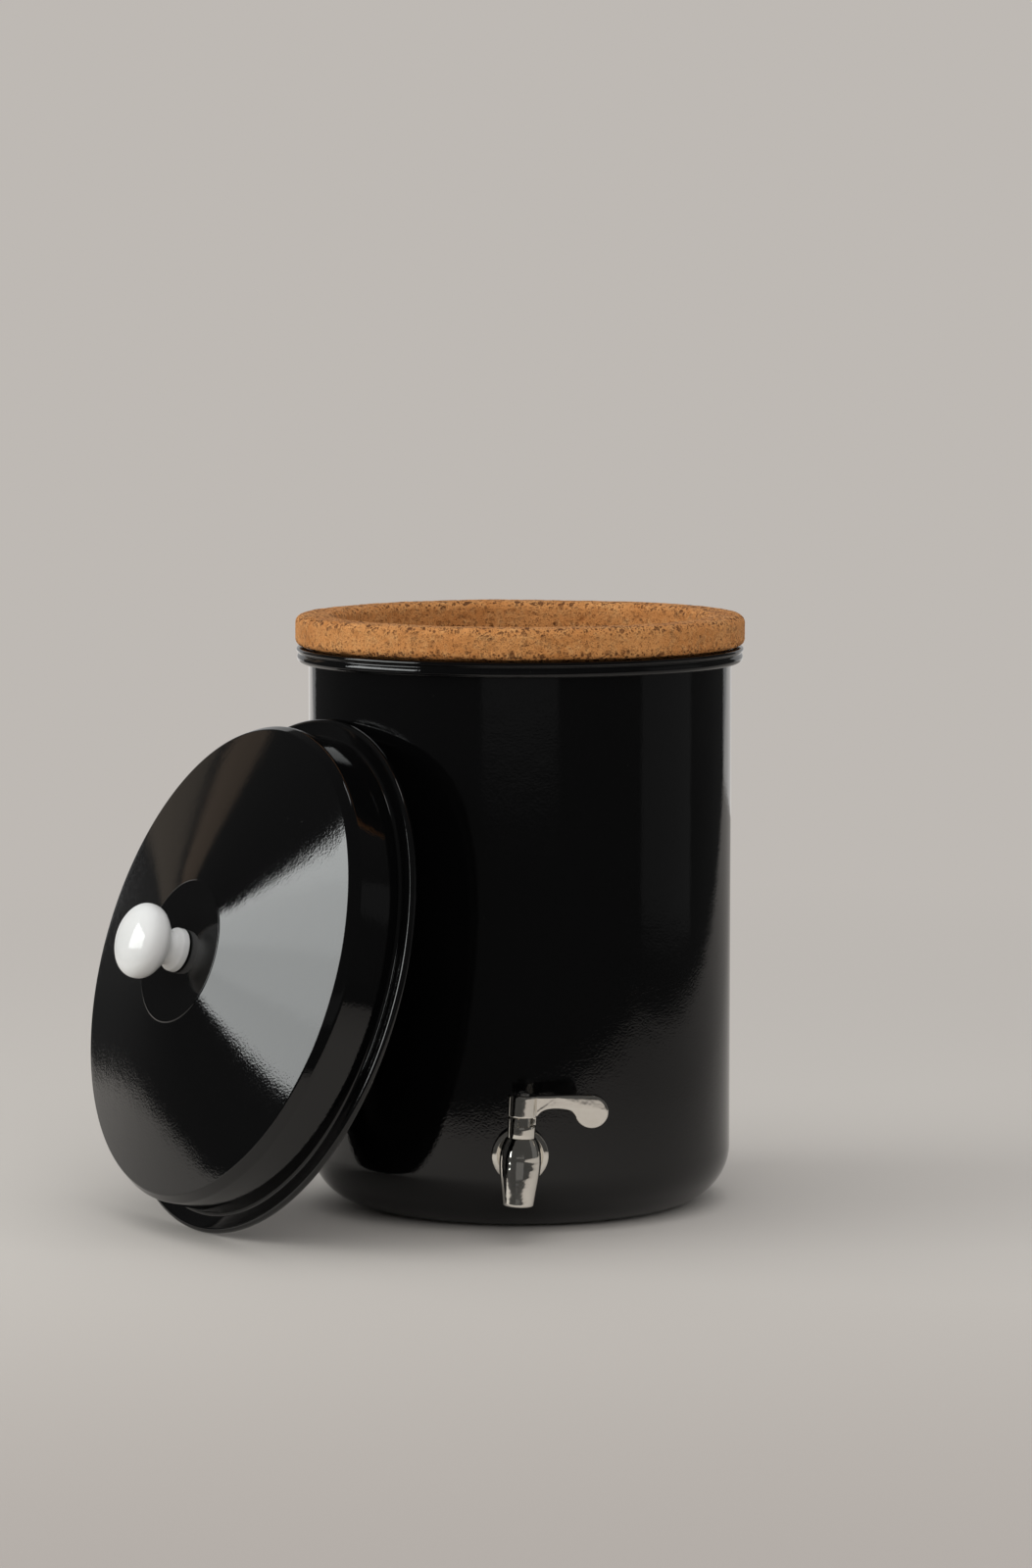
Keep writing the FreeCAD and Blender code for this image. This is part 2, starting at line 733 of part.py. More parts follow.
def hexagon_nut(label, face, height):
    prism = doc.addObject("Part::Prism", f"{label}_blank")
    prism.Polygon = 6
    prism.setExpression("Circumradius", nut_circumradius.text)
    prism.setExpression("Height", height.text)
    prism.Placement = FreeCAD.Placement(V(0, 0, 0), FreeCAD.Rotation(V(1, 0, 0), -90))
    prism.setExpression("Placement.Base.y", face.text)
    bore = doc.addObject("Part::Cylinder", f"{label}_bore")
    bore.setExpression("Radius", (shank_radius + thread_gap).text)
    bore.setExpression("Height", (height + 4).text)
    bore.Placement = FreeCAD.Placement(V(0, 0, 0), FreeCAD.Rotation(V(1, 0, 0), -90))
    bore.setExpression("Placement.Base.y", (face - 2).text)
    drilled = doc.addObject("Part::Cut", f"{label}_drilled")
    drilled.Base = prism
    drilled.Tool = bore
    corners = doc.addObject("Part::Cone", f"{label}_corners")
    corners.setExpression("Radius1", (nut_circumradius + height * 1.5 - 1.2).text)
    corners.setExpression("Radius2", (nut_circumradius - 1.2).text)
    corners.setExpression("Height", height.text)
    corners.Placement = FreeCAD.Placement(V(0, 0, 0), FreeCAD.Rotation(V(1, 0, 0), -90))
    corners.setExpression("Placement.Base.y", face.text)
    nut = doc.addObject("Part::Common", label)
    nut.Base = drilled
    nut.Tool = corners
    nut.Label = label
    nut.Placement = tap_frame
    return nut


foot = crown_height + knob_gasket_thickness
under_crown = crown_height - sheet_thickness
nodes = [
    vessel_shell(),
    filter_pot(),
    lid_shell(),
    lid_knob(),
    flat_ring("knob_gasket", leaning, False, knob_base_radius - 3, knob_hole_radius,
              crown_height, knob_gasket_thickness),
    flat_ring("knob_washer", leaning, False, 9, knob_screw_radius + 0.3, under_crown - 1.2, 1.2),
    screw("knob_screw", leaning, knob_screw_radius, size(4.6), size(3.0), under_crown - 1.2, size(22), True),
    tap_body(),
    tap_flange(),
    tap_bonnet(),
    gasket("outer_gasket", outer_gasket_radius, tap_flange_back, vessel_radius + seat_gap, True),
    gasket("inner_gasket", inner_gasket_radius, washer_face,
           vessel_radius - sheet_thickness - seat_gap, False),
    flat_ring("inner_washer", tap_frame, True, inner_gasket_radius + 0.5, shank_radius + thread_gap,
              washer_face, washer_thickness),
    hexagon_nut("shank_nut", washer_face + washer_thickness, nut_height),
    hexagon_nut("lock_nut", washer_face + washer_thickness + nut_height, lock_nut_height),
    tap_lever(),
    screw("lever_screw", tap_frame, lever_screw_radius, size(4.3), size(2.4), hub_top, size(9), False),
    valve_plug(),
    o_ring("upper_o_ring", upper_ring_height),
    o_ring("lower_o_ring", lower_ring_height)]

doc.recompute()
for item in doc.Objects:
    if "Invalid" in item.State or "Error" in item.State:
        raise RuntimeError(f"{item.Label} failed: {item.State}")
for node in nodes:
    shape = node.Shape
    if shape.isNull() or not shape.isValid() or shape.Volume < 1:
        raise RuntimeError(f"{node.Label} has no sound shape")
    shape.exportStep(f"parts/{node.Label}.step")
    box = shape.BoundBox
    print(f"{node.Label:14} {shape.Volume / 1000:9.2f} cm3  {len(shape.Solids)} solid  "
          f"x {box.XMin:.1f} {box.XMax:.1f}  y {box.YMin:.1f} {box.YMax:.1f}  z {box.ZMin:.1f} {box.ZMax:.1f}")
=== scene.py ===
import json
import math

import bmesh
import bpy
from mathutils import Matrix, Vector, noise


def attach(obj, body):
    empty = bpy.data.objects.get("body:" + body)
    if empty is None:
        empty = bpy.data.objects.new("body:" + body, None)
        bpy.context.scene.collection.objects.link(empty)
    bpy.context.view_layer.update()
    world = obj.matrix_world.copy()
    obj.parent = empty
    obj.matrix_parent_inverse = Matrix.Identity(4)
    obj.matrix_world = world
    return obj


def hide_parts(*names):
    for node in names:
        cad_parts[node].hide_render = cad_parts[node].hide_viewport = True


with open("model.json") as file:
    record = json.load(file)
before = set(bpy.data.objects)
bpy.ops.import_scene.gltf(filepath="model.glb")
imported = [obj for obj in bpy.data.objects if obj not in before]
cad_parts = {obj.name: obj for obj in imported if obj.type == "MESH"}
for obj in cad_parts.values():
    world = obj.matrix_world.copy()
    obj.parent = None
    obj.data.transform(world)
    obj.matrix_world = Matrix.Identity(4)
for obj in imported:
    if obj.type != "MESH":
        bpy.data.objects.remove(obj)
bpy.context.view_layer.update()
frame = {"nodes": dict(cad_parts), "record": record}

mm = 0.001


# one wrapped socket: + - * / and comparisons add Math nodes
class Wire:
    def __init__(self, tree, socket):
        self.tree = tree
        self.socket = socket

    def maths(self, kind, *others, swap=False):
        node = self.tree.nodes.new("ShaderNodeMath")
        node.operation = kind
        terms = [self, *others]
        if swap:
            terms = [*others, self]
        for slot, term in zip(node.inputs, terms):
            if isinstance(term, Wire):
                self.tree.links.new(term.socket, slot)
            else:
                slot.default_value = term
        return Wire(self.tree, node.outputs[0])

    def __add__(self, other):
        return self.maths("ADD", other)

    __radd__ = __add__

    def __mul__(self, other):
        return self.maths("MULTIPLY", other)

    __rmul__ = __mul__

    def __sub__(self, other):
        return self.maths("SUBTRACT", other)

    def __rsub__(self, other):
        return self.maths("SUBTRACT", other, swap=True)

    def __truediv__(self, other):
        return self.maths("DIVIDE", other)

    def __pow__(self, other):
        return self.maths("POWER", other)

    def above(self, level):
        return self.maths("GREATER_THAN", level)

    def clamp(self):
        held = self.maths("ADD", 0.0)
        held.socket.node.use_clamp = True
        return held

    def ramp(self, low, high):
        return ((self - low) / (high - low)).clamp()


# a node tree and the one method that adds nodes to it
class Tree:
    def __init__(self, tree):
        self.tree = tree

    def node(self, kind, settings=None, **values):
        made = self.tree.nodes.new(kind)
        for key, value in (settings or {}).items():
            setattr(made, key, value)
        for key, value in values.items():
            self.feed(made.inputs[key.replace("_", " ")], value)
        return made

    def feed(self, slot, value):
        if isinstance(value, Wire):
            value = value.socket
        if isinstance(value, bpy.types.NodeSocket):
            self.tree.links.new(value, slot)
        else:
            slot.default_value = value

    def wire(self, socket):
        return Wire(self.tree, socket)

    def ray(self, kind):
        return self.wire(self.node("ShaderNodeLightPath").outputs[kind])

    def mix(self, amount, first, second):
        made = self.node("ShaderNodeMixShader")
        for slot, value in zip(made.inputs, (amount, first, second)):
            self.feed(slot, value)
        return made.outputs[0]


# a material and the few helpers its surface needs
class Finish(Tree):
    def __init__(self, name):
        self.material = bpy.data.materials.new(name)
        self.material.use_nodes = True
        super().__init__(self.material.node_tree)
        self.shader = self.tree.nodes["Principled BSDF"]
        self.output = self.tree.nodes["Material Output"]
        self.place = self.node("ShaderNodeTexCoord").outputs["Object"]

    def grain(self, scale, detail=2.0, rough=0.5, stretch=None):
        spot = self.place
        if stretch:
            spot = self.node("ShaderNodeMapping", Vector=spot, Scale=stretch).outputs[0]
        made = self.node("ShaderNodeTexNoise", Vector=spot, Scale=scale, Detail=detail, Roughness=rough)
        return self.wire(made.outputs["Fac"])

    def cells(self, scale):
        made = self.node("ShaderNodeTexVoronoi", Vector=self.place, Scale=scale)
        return self.wire(made.outputs["Distance"]), self.wire(made.outputs["Color"])

    def axes(self):
        split = self.node("ShaderNodeSeparateXYZ", Vector=self.place)
        return [self.wire(socket) for socket in split.outputs]

    def blend(self, amount, first, second):
        made = self.node("ShaderNodeMix", {"data_type": "RGBA"})
        self.feed(made.inputs["Factor"], amount)
        self.feed(made.inputs["A"], first)
        self.feed(made.inputs["B"], second)
        return made.outputs["Result"]

    def bump(self, height, distance, strength):
        return self.node("ShaderNodeBump", Height=height, Distance=distance, Strength=strength).outputs[0]

    def set(self, **values):
        for key, value in values.items():
            self.feed(self.shader.inputs[key.replace("_", " ")], value)
        return self


# forms
def newObject(name, mesh, body, replaced=()):
    thing = bpy.data.objects.new(name, mesh)
    bpy.context.scene.collection.objects.link(thing)
    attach(thing, body)
    if replaced:
        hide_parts(*replaced)
    return thing


def meshFrom(work, name, smooth=True):
    mesh = bpy.data.meshes.new(name)
    work.to_mesh(mesh)
    work.free()
    if smooth:
        mesh.polygons.foreach_set("use_smooth", [True] * len(mesh.polygons))
    return mesh


# points along a circle's arc, angles in degrees
def arc(outX, outZ, radius, start, end, count):
    turns = [math.radians(start + (end - start) * k / count) for k in range(count + 1)]
    return [Vector((outX + radius * math.cos(a), outZ + radius * math.sin(a))) for a in turns]


# a path of straight runs whose corners are rounded: each corner is (radius out, height, rounding)
def roundedPath(corners, turns=8):
    path = []
    last = len(corners) - 1
    for i, (out, up, rounding) in enumerate(corners):
        here = Vector((out, up))
        if i in (0, last) or rounding <= 0:
            path.append(here)
            continue
        back = (Vector(corners[i - 1][:2]) - here).normalized()
        ahead = (Vector(corners[i + 1][:2]) - here).normalized()
        angle = back.angle(ahead)
        if angle > math.pi - 0.01:
            path.append(here)
            continue
        reach = rounding / math.tan(angle / 2)
        centre = here + (back + ahead).normalized() * (rounding / math.sin(angle / 2))
        start = here + back * reach - centre
        sweep = start.angle_signed(here + ahead * reach - centre)
        for k in range(turns + 1):
            part = -sweep * k / turns
            c, s = math.cos(part), math.sin(part)
            path.append(centre + Vector((start.x * c - start.y * s, start.x * s + start.y * c)))
    return path


# extra points along every run longer than step
def evenPath(path, step):
    made = [path[0]]
    for a, b in zip(path, path[1:]):
        count = max(1, int(math.ceil((b - a).length / step)))
        made += [a.lerp(b, (k + 1) / count) for k in range(count)]
    return made


# spins a path in millimetres round +Z into a closed shell of revolution
def turned(path, steps, closed=True):
    work = bmesh.new()
    dots = [work.verts.new((p.x * mm, 0, p.y * mm)) for p in path]
    runs = [work.edges.new(pair) for pair in zip(dots, dots[1:])]
    if closed:
        runs.append(work.edges.new((dots[-1], dots[0])))
    bmesh.ops.spin(work, geom=dots + runs, cent=(0, 0, 0), axis=(0, 0, 1), angle=2 * math.pi,
                   steps=steps, use_merge=True, use_duplicate=False)
    bmesh.ops.remove_doubles(work, verts=work.verts, dist=2e-6)
    loose = [v for v in work.verts if not v.link_faces]
    bmesh.ops.delete(work, geom=loose, context="VERTS")
    bmesh.ops.recalc_face_normals(work, faces=work.faces)
    return work


def place(work, matrix):
    bmesh.ops.transform(work, matrix=matrix, verts=work.verts)
    return work


# adds a round bar along +Z of the matrix, from start to end in millimetres
def rod(work, radius, start, end, matrix, steps=64):
    made = bmesh.ops.create_cone(work, segments=steps, radius1=radius * mm, radius2=radius * mm,
                                 depth=(end - start) * mm, cap_ends=True)
    bmesh.ops.transform(work, matrix=matrix @ Matrix.Translation((0, 0, (start + end) / 2 * mm)),
                        verts=made["verts"])


# adds a block of the given size round a middle, both in millimetres
def block(work, size, middle):
    made = bmesh.ops.create_cube(work, size=1)
    bmesh.ops.scale(work, vec=[side * mm for side in size], verts=made["verts"])
    bmesh.ops.translate(work, vec=[part * mm for part in middle], verts=made["verts"])


def addModifier(thing, kind, **values):
    made = thing.modifiers.new(kind.title(), kind)
    for key, value in values.items():
        setattr(made, key, value)
    return made


def applied(thing):
    graph = bpy.context.evaluated_depsgraph_get()
    mesh = bpy.data.meshes.new_from_object(thing.evaluated_get(graph))
    thing.modifiers.clear()
    thing.data = mesh
    mesh.polygons.foreach_set("use_smooth", [True] * len(mesh.polygons))
    return thing


def cutter(work, name):
    thing = bpy.data.objects.new(name, meshFrom(work, name, False))
    bpy.context.scene.collection.objects.link(thing)
    return thing


def cutBy(thing, tool, operation="DIFFERENCE"):
    addModifier(thing, "BOOLEAN", operation=operation, solver="EXACT", object=tool)
    applied(thing)
    bpy.data.objects.remove(tool)
    return thing


# where the leaning lid and the slightly crooked tap stand
lean = {"azimuth": 58.6, "back": 17.5, "vessel": 145.3, "flange": 177.0, "roll": 2.6}
tapStand = {"reach": 175.0, "height": 54.0, "tilt": 2.7}


def lidPlace():
    turn = math.radians(lean["azimuth"])
    back = math.radians(lean["back"])
    ring = lean["flange"] - lean["roll"]
    outward = Vector((-math.sin(turn), -math.cos(turn), 0))
    axis = outward * math.cos(back) + Vector((0, 0, math.sin(back)))
    centre = outward * (lean["vessel"] + lean["roll"] + ring * math.sin(back))
    centre.z = ring * math.cos(back) + lean["roll"]
    foot = (centre - axis * lean["roll"]) * mm
    turnTo = Vector((0, 0, 1)).rotation_difference(axis).to_matrix().to_4x4()
    return Matrix.Translation(foot) @ turnTo


def tapPlace(reach):
    return Matrix.Translation((0, -reach * mm, tapStand["height"] * mm))


lidFrame = lidPlace()
tapFrame = tapPlace(tapStand["reach"]) @ Matrix.Rotation(math.radians(tapStand["tilt"]), 4, "Y")
alongShank = Matrix.Rotation(math.radians(-90), 4, "X")

# vessel: the mouth has a bead, a groove and a thin lip, each an arc of (radius out, height, radius, from, to)
vessel = {"radius": 145.0, "sheet": 1.6, "foot": 38.0, "wallTop": 370.8, "support": (371.2, 371.5),
          "bead": (149.3, 375.2, 3.6, -138, 42), "lip": (151.7, 380.6, 1.7, -96, 90), "mouthEdge": 4.9,
          "hole": 8.4, "holeAt": 144.5, "holeLong": 30, "steps": 288, "step": 14}


def makeVessel():
    v = vessel
    inner = v["radius"] - v["sheet"]
    path = roundedPath([(0, 0, 0), (v["radius"], 0, v["foot"]), (v["radius"], v["wallTop"], 0)], 24)
    path += [Vector((v["radius"], up)) for up in v["support"]]
    for outX, outZ, radius, start, end in (v["bead"], v["lip"]):
        path += arc(outX, outZ, radius, start, end, 18)
    top = outZ + radius
    rest = roundedPath([(outX, top, 0), (inner, top, v["mouthEdge"]),
                        (inner, v["sheet"], v["foot"] - v["sheet"]), (0, v["sheet"], 0)], 20)
    work = turned(evenPath(path + rest[1:], v["step"]), v["steps"], closed=False)
    thing = newObject("vesselWall", meshFrom(work, "vesselWall"), "vessel", ["vessel_shell"])
    hole = bmesh.new()
    rod(hole, v["hole"], -v["holeLong"] / 2, v["holeLong"] / 2, tapPlace(v["holeAt"]) @ alongShank, 48)
    return cutBy(thing, cutter(hole, "wallHole"))


# clay filter pot: thrown by hand, so its rim wavers, is wiped round and is full of pits;
# each kind of pit is (spacing, widest radius, share of the spots, depth, shift)
pot = {"base": 121.0, "foot": 166.0, "neck": 140.4, "neckTop": 372.0, "neckStep": 0.3, "seat": 382.6,
       "rim": 155.0, "top": 405.8, "mouth": 126.6, "inner": 106.5, "floor": 180.5,
       "edge": 6.5, "footEdge": 9, "floorEdge": 13, "seatEdge": 5.5, "neckEdge": 3,
       "steps": 640, "fine": 1.5, "lowerStep": 16, "insideStep": 9,
       "pits": ((9.0, 4.4, 0.6, 2.0, 0), (5.2, 2.6, 0.65, 1.4, 40), (3.1, 1.6, 0.65, 0.8, 71))}
# how far the hand-made surface strays, and from which heights up, inside the mouth and outside it
hand = {"split": 132, "inside": (345, 30), "outside": (374, 8), "rounds": 2.1, "climb": 60,
        "second": (0.22, 2.7), "least": 0.12, "slow": 0.63, "lump": (0.45, 17), "wipe": (0.34, 6.5, 2.6, 1.9),
        "small": (0.12, 2.3), "sag": (395, 0.9), "crowd": (0.35, 11)}


def pitDepth(at, every, widest, share):
    near, spots = noise.voronoi(at / every)
    chance = 0.5 + 0.5 * noise.cell(spots[0] * 7.31 + Vector((3.1, 8.7, 1.9)))
    if chance > share:
        return 0.0
    reach = widest * (0.35 + 0.65 * chance / share) / every
    away = near[0] / reach
    return 0.0 if away >= 1 else (1 - away * away) ** 1.3 * (0.4 + 0.6 * chance / share)


# noise between 0 and 1, and a little past both
def sway(spot):
    return 0.5 + 0.5 * noise.noise(spot)


def clayMove(at, normal):
    p = pot
    h = hand
    spot = at / mm
    out = math.hypot(spot.x, spot.y)
    turn = math.atan2(spot.y, spot.x)
    start, over = h["inside"] if out < h["split"] else h["outside"]
    rim = min(1.0, max(0.0, (spot.z - start) / over))
    if rim <= 0:
        return Vector((0, 0, 0))
    heading = Vector((math.cos(turn), math.sin(turn), 0))
    ring = heading * h["rounds"] + Vector((0, 0, spot.z / h["climb"]))
    share, finer = h["second"]
    slow = sway(ring) + share * noise.noise(ring * finer)
    wipe, wipeRounds, wipeOut, wipeUp = h["wipe"]
    wiped = sway(heading * wipeRounds + Vector((out / wipeOut, 0, spot.z / wipeUp)))
    corners = ((p["rim"], p["top"]), (p["rim"], p["seat"]), (p["mouth"], p["top"]))
    near = min(math.hypot(out - cornerOut, spot.z - cornerUp) for cornerOut, cornerUp in corners)
    least, fade = h["crowd"]
    crowd = least + (1 - least) * max(0.0, 1 - near / fade)
    pits = 0
    for every, widest, share, depth, shift in p["pits"]:
        pits += depth * pitDepth(spot + Vector((shift, shift * 0.4, 5)), every, widest, share * crowd)
    lump, lumpSize = h["lump"]
    small, smallSize = h["small"]
    inset = (h["least"] + h["slow"] * max(0.0, slow) + lump * sway(spot / lumpSize) + wipe * wiped +
             small * noise.noise(spot / smallSize))
    move = normal * (-(inset + pits) * rim * mm)
    sagFrom, sag = h["sag"]
    if spot.z > sagFrom:
        move.z -= sag * max(0.0, sway(ring * 0.9 + Vector((5, 5, 5)))) * rim * mm
    return move


def makePot():
    p = pot
    neck = (p["neck"], p["neckTop"], 0)
    mouth = (p["mouth"], p["neckTop"], 0)
    lower = roundedPath([(0, p["foot"], 0), (p["base"], p["foot"], p["footEdge"]), neck])
    rim = roundedPath([neck, (p["neck"] + p["neckStep"], p["seat"], p["neckEdge"]),
                       (p["rim"], p["seat"], p["seatEdge"]), (p["rim"], p["top"], p["edge"]),
                       (p["mouth"], p["top"], p["edge"]), mouth])
    inside = roundedPath([mouth, (p["inner"], p["floor"], p["floorEdge"]), (0, p["floor"], 0)])
    path = evenPath(lower, p["lowerStep"])
    path += evenPath(rim, p["fine"])[1:] + evenPath(inside, p["insideStep"])[1:]
    work = turned(path, p["steps"], closed=False)
    work.normal_update()
    moves = [clayMove(v.co, v.normal) for v in work.verts]
    for v, move in zip(work.verts, moves):
        v.co += move
    return newObject("clayPot", meshFrom(work, "clayPot"), "filter", ["filter_pot"])


# lid
lid = {"crown": 48.2, "crownDrop": (0.7, 0.55), "top": 70.5, "sheet": 1.6, "band": 163.5,
       "crease": (159.6, 42.1), "turnDown": 36.0, "shoulder": 5.0, "flangeTop": 4.2,
       "roll": (174.4, 2.6, 2.6, 108, -172), "hole": 3.6, "steps": 360, "step": 9}


def makeLid():
    d = lid
    t = d["sheet"]
    outX, outZ, roll = d["roll"][:3]
    creaseOut, creaseUp = d["crease"]
    dropOut, dropDown = d["crownDrop"]
    path = roundedPath([(d["hole"], d["top"], 0), (d["crown"], d["top"], 0.9),
                        (d["crown"] + dropOut, d["top"] - dropDown, 0.6), (creaseOut, creaseUp, 2.2),
                        (d["band"], d["turnDown"], d["shoulder"]), (d["band"], d["flangeTop"], 2.4),
                        (outX - 1.4, d["flangeTop"] + 0.5, 0)], 18)
    path += arc(*d["roll"], 22)
    under = roundedPath([(outX - 2.3, roll, 0), (d["band"] - t, roll, 3.0),
                         (d["band"] - t, d["turnDown"] - 0.7, d["shoulder"] - t),
                         (creaseOut - 0.8, creaseUp - t - 0.2, 1.0), (d["crown"] - 0.2, d["top"] - t, 1.0),
                         (d["hole"], d["top"] - t, 0)], 14)
    work = place(turned(evenPath(path + under[1:], d["step"]), d["steps"]), lidFrame)
    return newObject("lidDome", meshFrom(work, "lidDome"), "lid", ["lid_shell"])


# knob: a foot with a groove, a waisted neck and a flattened ball; each foot corner is (out, up, rounding)
knob = {"foot": 71.1, "base": 15.0, "waist": ((14.7, 5.2, 2.6), (11.4, 7.6, 2.2), (10.5, 13.4, 4)),
        "blind": 24, "centre": 99.1, "head": 25.4, "half": 14.3, "boxy": 0.9, "meets": (0.72, 0.78),
        "start": -45, "hole": 3.1, "steps": 128, "step": 4}


def makeKnob():
    k = knob
    depth = k["foot"] + k["blind"]
    meetsOut, meetsDown = k["meets"]
    path = roundedPath([(k["hole"], depth, 0), (k["hole"], k["foot"], 0), (k["base"], k["foot"], 1.1)] +
                       [(out, k["foot"] + up, rounding) for out, up, rounding in k["waist"]] +
                       [(k["head"] * meetsOut, k["centre"] - k["half"] * meetsDown, 0)])
    for n in range(41):
        a = math.radians(k["start"] + (90 - k["start"]) * n / 40)
        side = math.copysign(abs(math.sin(a)) ** k["boxy"], math.sin(a))
        path.append(Vector((k["head"] * max(0.0, math.cos(a)) ** k["boxy"], k["centre"] + k["half"] * side)))
    path[-1].x = 0
    path.append(Vector((0, depth)))
    work = place(turned(evenPath(path, k["step"]), k["steps"]), lidFrame)
    return newObject("knobPorcelain", meshFrom(work, "knobPorcelain"), "lid", ["lid_knob"])


# tap: the barrel's profile and the ways through it, as (radius, height) from the shank's middle
tap = {"barrel": ((0, -28.1), (9.2, -28.1), (10.1, -27.8), (10.5, -26.9), (11.2, -22), (12.3, -15),
                  (13.2, -9), (13.7, -4), (13.85, 0), (13.65, 4.5), (12.9, 8.6), (11.8, 12), (10.7, 14.5),
                  (9.9, 16.1), (0, 16.1)),
       "ways": ((0, -29), (7.4, -29), (7.4, -14), (5, -11), (5, -10), (7.0, -10), (7.0, 11.8), (8.4, 11.8),
                (8.4, 17), (0, 17)),
       "collar": 10.2, "collarEnd": 22.4, "shank": 8.0, "shankStart": 2, "shankEnd": 57.0, "inlet": 4.5,
       "lean": 7.0, "leanTop": 2, "leanOver": 30, "leanEase": 0.12, "voxel": 0.4, "smooth": 6}


# how far the spout leans forward at a height, in metres
def spoutLean(z):
    t = tap
    down = max(0.0, t["leanTop"] * mm - z) / (t["leanOver"] * mm)
    return t["lean"] * mm * down * down / (down + t["leanEase"])


# one skin over a piece's joined forms, with soft inner corners
def fused(thing, size):
    addModifier(thing, "REMESH", mode="VOXEL", voxel_size=size["voxel"] * mm)
    addModifier(thing, "SMOOTH", factor=0.5, iterations=size["smooth"])
    return applied(thing)


def makeCasting():
    t = tap
    work = turned([Vector(p) for p in t["barrel"]], 96, closed=False)
    rod(work, t["collar"], 0, t["collarEnd"], alongShank)
    rod(work, t["shank"], t["shankStart"], t["shankEnd"], alongShank)
    thing = newObject("tapCasting", meshFrom(work, "tapCasting"), "vessel", ["tap_body"])
    fused(thing, t)
    for v in thing.data.vertices:
        v.co.y -= spoutLean(v.co.z)
    ways = turned([Vector(p) for p in t["ways"]], 64, closed=False)
    for v in ways.verts:
        v.co.y -= spoutLean(v.co.z)
    cutBy(thing, cutter(ways, "tapWays"))
    inlet = bmesh.new()
    rod(inlet, t["inlet"], 1, t["shankEnd"] + 1, alongShank)
    cutBy(thing, cutter(inlet, "tapInlet"))
    thing.data.transform(tapFrame)
    return thing


# rosette: its dished front is a row of (radius, behind the front, rounding)
rosette = {"radius": 19.1, "front": 22.4, "back": 26.4, "bore": 8.3, "steps": 128, "step": 2,
           "dish": ((8.3, 0, 0), (11.4, 0.05, 0.4), (13.0, 1.5, 1.2), (15.6, 0.75, 1.4), (19.1, 1.9, 1.5))}


def makeRosette():
    r = rosette
    path = roundedPath([(out, r["front"] + behind, rounding) for out, behind, rounding in r["dish"]] +
                       [(r["radius"], r["back"], 0.5), (r["bore"], r["back"], 0)])
    work = place(turned(evenPath(path, r["step"]), r["steps"]), tapFrame @ alongShank)
    return newObject("tapRosette", meshFrom(work, "tapRosette"), "vessel", ["tap_flange"])


# bonnet: a collar whose notch stops the lever's lug
bonnet = {"radius": 9.25, "spigotFoot": 12.0, "floor": 16.0, "top": 30.0, "bore": 4.55, "spigot": 8.1,
          "rim": 0.45, "notch": 24.3, "notchSize": (5.5, 7), "notchIn": 6.5, "notchStart": -107.0,
          "notchSweep": 124.0, "edge": 0.22, "steps": 128, "step": 3}


def makeBonnet():
    b = bonnet
    path = roundedPath([(b["bore"], b["spigotFoot"], 0), (b["spigot"], b["spigotFoot"], 0.3),
                        (b["spigot"], b["floor"], 0), (b["radius"], b["floor"], b["rim"]),
                        (b["radius"], b["top"], b["rim"]), (b["bore"], b["top"], 0.2)], 4)
    work = turned(evenPath(path, b["step"]), b["steps"])
    thing = newObject("tapBonnet", meshFrom(work, "tapBonnet"), "vessel", ["tap_bonnet"])
    wide, tall = b["notchSize"]
    wedge = bmesh.new()
    bmesh.ops.create_grid(wedge, x_segments=1, y_segments=1, size=0.5)
    stand = Matrix.Translation(((b["notchIn"] + wide / 2) * mm, 0, (b["notch"] + tall / 2) * mm))
    place(wedge, Matrix.Rotation(math.radians(b["notchStart"]), 4, "Z") @ stand @
          Matrix.Rotation(math.radians(90), 4, "X") @ Matrix.Diagonal((wide * mm, tall * mm, 1, 1)))
    bmesh.ops.spin(wedge, geom=wedge.verts[:] + wedge.edges[:] + wedge.faces[:], cent=(0, 0, 0),
                   axis=(0, 0, 1), angle=math.radians(b["notchSweep"]), steps=40)
    bmesh.ops.recalc_face_normals(wedge, faces=wedge.faces)
    cutBy(thing, cutter(wedge, "bonnetNotch"))
    addModifier(thing, "BEVEL", width=b["edge"] * mm, segments=2, limit_method="ANGLE",
                angle_limit=math.radians(50))
    applied(thing)
    thing.data.transform(tapFrame)
    return thing


# lever: its outline runs along the ridge to the paddle, round it and back by throat, arch and root
lever = {"hub": 9.7, "under": 30.2, "top": 44.8, "hubFoot": 0.5, "hubEdge": 1.3,
         "ridge": ((3, 44.5), (16, 44.6), (30, 46.7)), "paddle": (45.4, 35.7), "paddleSize": 11.1,
         "paddleArc": (98, -154), "throat": ((34.1, 34.3), (32.4, 35.7), (29.6, 36.1)),
         "arch": ((25.0, 36.9), (16.5, 37.2), (12.4, 34.0)),
         "root": ((11.0, 32.8), (10.4, 31.9), (9.8, 30.7)),
         "heel": (3, 30.7), "thickness": (6.6, 5.2), "thins": (8, 30), "faceTip": 0.03, "edge": 1.1,
         "lug": (2.2, 3.3, 7.5), "lugAt": (7.95, 0, 28.6),
         "socket": (4.9, 20, 42.3), "screwHole": (2.3, 40, 46), "voxel": 0.32, "smooth": 6}


def bezier(points, count):
    a, b, c, d = [Vector(p) for p in points]
    made = []
    for k in range(count):
        t = k / (count - 1)
        u = 1 - t
        made.append(a * u ** 3 + b * (3 * u * u * t) + c * (3 * u * t * t) + d * t ** 3)
    return made


def leverOutline():
    g = lever
    around = arc(*g["paddle"], g["paddleSize"], *g["paddleArc"], 42)
    ridge = bezier((*g["ridge"], around[0]), 14)
    throat = bezier((around[-1], *g["throat"]), 9)
    arch = bezier((throat[-1], *g["arch"]), 12)
    root = bezier((arch[-1], *g["root"]), 6)
    return ridge + around[1:] + throat[1:] + arch[1:] + root[1:] + [Vector(g["heel"])]


